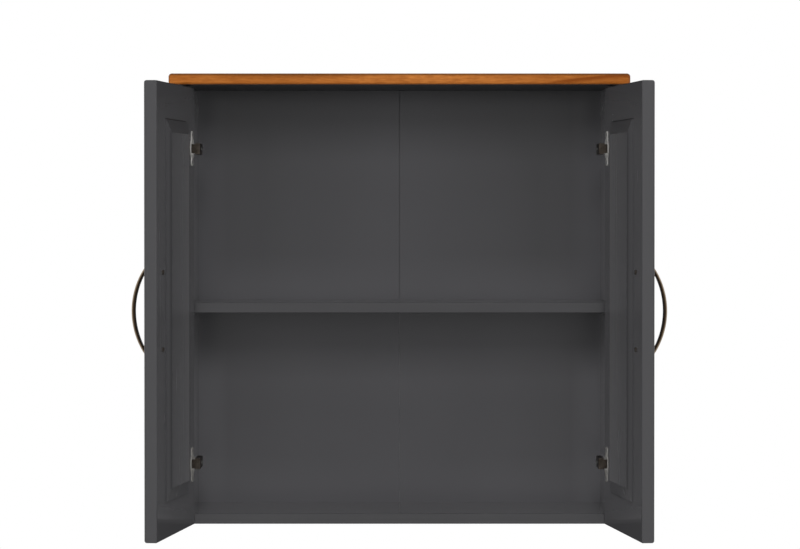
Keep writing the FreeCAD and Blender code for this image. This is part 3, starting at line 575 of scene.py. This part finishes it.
# Finish of every node
# Screws and shelf pins inside the cabinet take a darker, duller copy of steel, as painted shade
SHADED_STEEL_NODES = ("hinge_arm_screws", "shelf_pins", "left_cup_screws", "right_cup_screws")
GRAIN_STEP = (0.37, 0.53, 0.71)
WORN_SCREWS, WORN_BOW = 0.7, 0.1
door_turn = {"left": -open_angle, "right": open_angle}


def outward_of(side):
    """Direction that the outer face of an open door looks in."""
    return Vector((math.sin(door_turn[side]), -math.cos(door_turn[side]), 0.0))


def inward_of(name, turn):
    """Direction in which the inner side of a lacquered piece looks."""
    if turn:
        return -outward_of(name.split("_")[0])
    if name.startswith("side_panel"):
        return Vector((1.0 if name.endswith("left") else -1.0, 0.0, 0.0))
    return Vector(UPWARD)


def lacquer_grain(name):
    """Direction of the grain, and turn of the door that it is measured in."""
    side = name.split("_")[0]
    turn = door_turn.get(side, 0.0)
    if name in ("bottom_panel", "shelf") or "rail" in name:
        return X_AXIS, turn
    return Z_AXIS, turn


finishes = {
    "oiled_pine": oiled_pine(),
    "grey_hardboard": grey_hardboard(),
    "seam_tape": seam_tape(),
    "beech": beech(),
    "steel": plated_steel("steel", (0.50, 0.50, 0.51), (0.33, 0.33, 0.34), 0.30),
    "dull_shaded_steel": plated_steel("dull_shaded_steel", (0.17, 0.17, 0.17), (0.09, 0.09, 0.09), 0.5),
    "zinc": plated_steel("zinc", (0.46, 0.47, 0.49), (0.32, 0.33, 0.35), 0.40, spangle=0.002),
    "nickel": plated_steel("nickel", (0.60, 0.59, 0.57), (0.46, 0.45, 0.43), 0.42, metallic=0.4),
    "dull_shaded_nickel": plated_steel("dull_shaded_nickel", (0.42, 0.41, 0.39), (0.31, 0.30, 0.28), 0.46, metallic=0.4),
    "dark_nickel": plated_steel("dark_nickel", (0.085, 0.072, 0.060), (0.040, 0.032, 0.026), 0.38),
}
for number, (name, node) in enumerate(sorted(nodes.items())):
    slot = slot_of[name]
    if slot == "grey_lacquer":
        direction, turn = lacquer_grain(name)
        shift = tuple(step * number for step in GRAIN_STEP)
        panel = node if turn and name.endswith("panel") else None
        material = grey_lacquer(f"grey_lacquer_{name}", direction, turn, shift, inward_of(name, turn), panel)
    elif slot == "antique_brass":
        side = name.split("_")[0]
        worn = WORN_SCREWS if name.endswith("screws") else WORN_BOW
        material = antique_brass(f"antique_brass_{name}", outward_of(side), worn)
    # Nickel parts named lower take a darker, duller copy of nickel, as painted shade
    elif slot == "nickel" and "lower" in name:
        material = finishes["dull_shaded_nickel"]
    else:
        material = finishes["dull_shaded_steel" if name in SHADED_STEEL_NODES else slot]
    node.data.materials.clear()
    node.data.materials.append(material)


# Floor and surroundings, which show white to the eye and in gloss
def seen_directly(tree):
    """1 for rays from the eye, in gloss or through glass, and 0 for the rest."""
    path = tree.add("ShaderNodeLightPath").outputs
    seen = tree.apply("MAXIMUM", path["Is Camera Ray"], path["Is Glossy Ray"])
    return tree.apply("MAXIMUM", seen, path["Is Transmission Ray"])


def make_world():
    world = bpy.data.worlds.new("studio")
    world.use_nodes = True
    tree = NodeTree(world.node_tree)
    background = world.node_tree.nodes["Background"]
    tree.feed(background.inputs["Color"], WHITE)
    tree.feed(background.inputs["Strength"], tree.spread(seen_directly(tree), 0.0, 1.0, AMBIENT, 1.0))
    bpy.context.scene.world = world


def floor_finish():
    """Matt grey that keeps a shadow in the middle and fades to white at the rim."""
    material = bpy.data.materials.new("floor")
    material.use_nodes = True
    material.node_tree.nodes.clear()
    tree = NodeTree(material.node_tree)
    matt = tree.add("ShaderNodeBsdfDiffuse", {"Color": FLOOR_GREY})
    white = tree.add("ShaderNodeEmission", {"Color": WHITE})
    spot = tree.add("ShaderNodeTexCoord").outputs["Object"]
    distance = tree.add("ShaderNodeVectorMath", {0: spot}, operation="LENGTH").outputs["Value"]
    glow = tree.spread(distance, RIM_START, RIM_END, FLOOR_GLOW, 1.0, interpolation_type="SMOOTHSTEP")
    share = tree.times(glow, seen_directly(tree))
    blend = tree.add("ShaderNodeMixShader", {0: share, 1: matt.outputs[0], 2: white.outputs[0]})
    tree.add("ShaderNodeOutputMaterial", {"Surface": blend.outputs[0]})
    return material


def make_floor():
    """Pale round floor below the cabinet."""
    bpy.ops.mesh.primitive_circle_add(vertices=128, radius=FLOOR_RADIUS, fill_type="NGON")
    floor = bpy.context.object
    floor.name = "floor"
    floor.location = (0.0, 0.0, cad_box[0].z - FLOOR_DROP)
    floor.data.materials.append(floor_finish())


def soft_light(name, azimuth, elevation, size, level):
    """Rectangular lamp that looks at the middle of the cabinet and lights a white card to a level."""
    lamp = bpy.data.lights.new(name, "AREA")
    lamp.shape = "RECTANGLE"
    lamp.size, lamp.size_y = size
    lamp.energy = level * (math.pi * LAMP_DISTANCE) ** 2
    azimuth, elevation = math.radians(azimuth), math.radians(elevation)
    across = math.cos(elevation)
    towards = Vector((across * math.sin(azimuth), -across * math.cos(azimuth), math.sin(elevation)))
    lamp_object = bpy.data.objects.new(name, lamp)
    lamp_object.location = (cad_box[0] + cad_box[1]) / 2 + LAMP_DISTANCE * towards
    lamp_object.rotation_euler = (-towards).to_track_quat("-Z", "Y").to_euler()
    lamp_object.visible_camera = False
    lamp_object.visible_glossy = False
    bpy.context.scene.collection.objects.link(lamp_object)


def make_camera():
    """View of the front from eye height, tilted so that the horizon falls on its row."""
    lens = bpy.data.cameras.new("camera")
    lens.sensor_width = SENSOR_WIDTH_MM
    lens.lens = FOCAL_PIXELS * SENSOR_WIDTH_MM / IMAGE_WIDTH
    lens.clip_end = CLIP_END
    camera = bpy.data.objects.new("camera", lens)
    front_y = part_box("bottom_panel")[0].y
    camera.location = (CAMERA_SIDE, front_y - CAMERA_DISTANCE, cad_box[0].z + EYE_HEIGHT)
    tilt = math.atan((IMAGE_HEIGHT / 2 - HORIZON_ROW) / FOCAL_PIXELS)
    camera.rotation_euler = (math.pi / 2 - tilt, 0.0, 0.0)
    bpy.context.scene.collection.objects.link(camera)
    bpy.context.scene.camera = camera


bpy.context.scene.view_settings.view_transform = "Standard"
make_world()
make_floor()
make_camera()
soft_light("key", azimuth=0, elevation=20.5, size=(0.9, 1.2), level=0.50)
soft_light("top", azimuth=0, elevation=45, size=(2.0, 1.4), level=0.17)
for side in (-1, 1):
    soft_light(f"fill_{side}", azimuth=side * 15, elevation=4, size=(1.0, 1.4), level=0.13)
    soft_light(f"side_{side}", azimuth=side * 48, elevation=5, size=(1.4, 2.0), level=0.13)
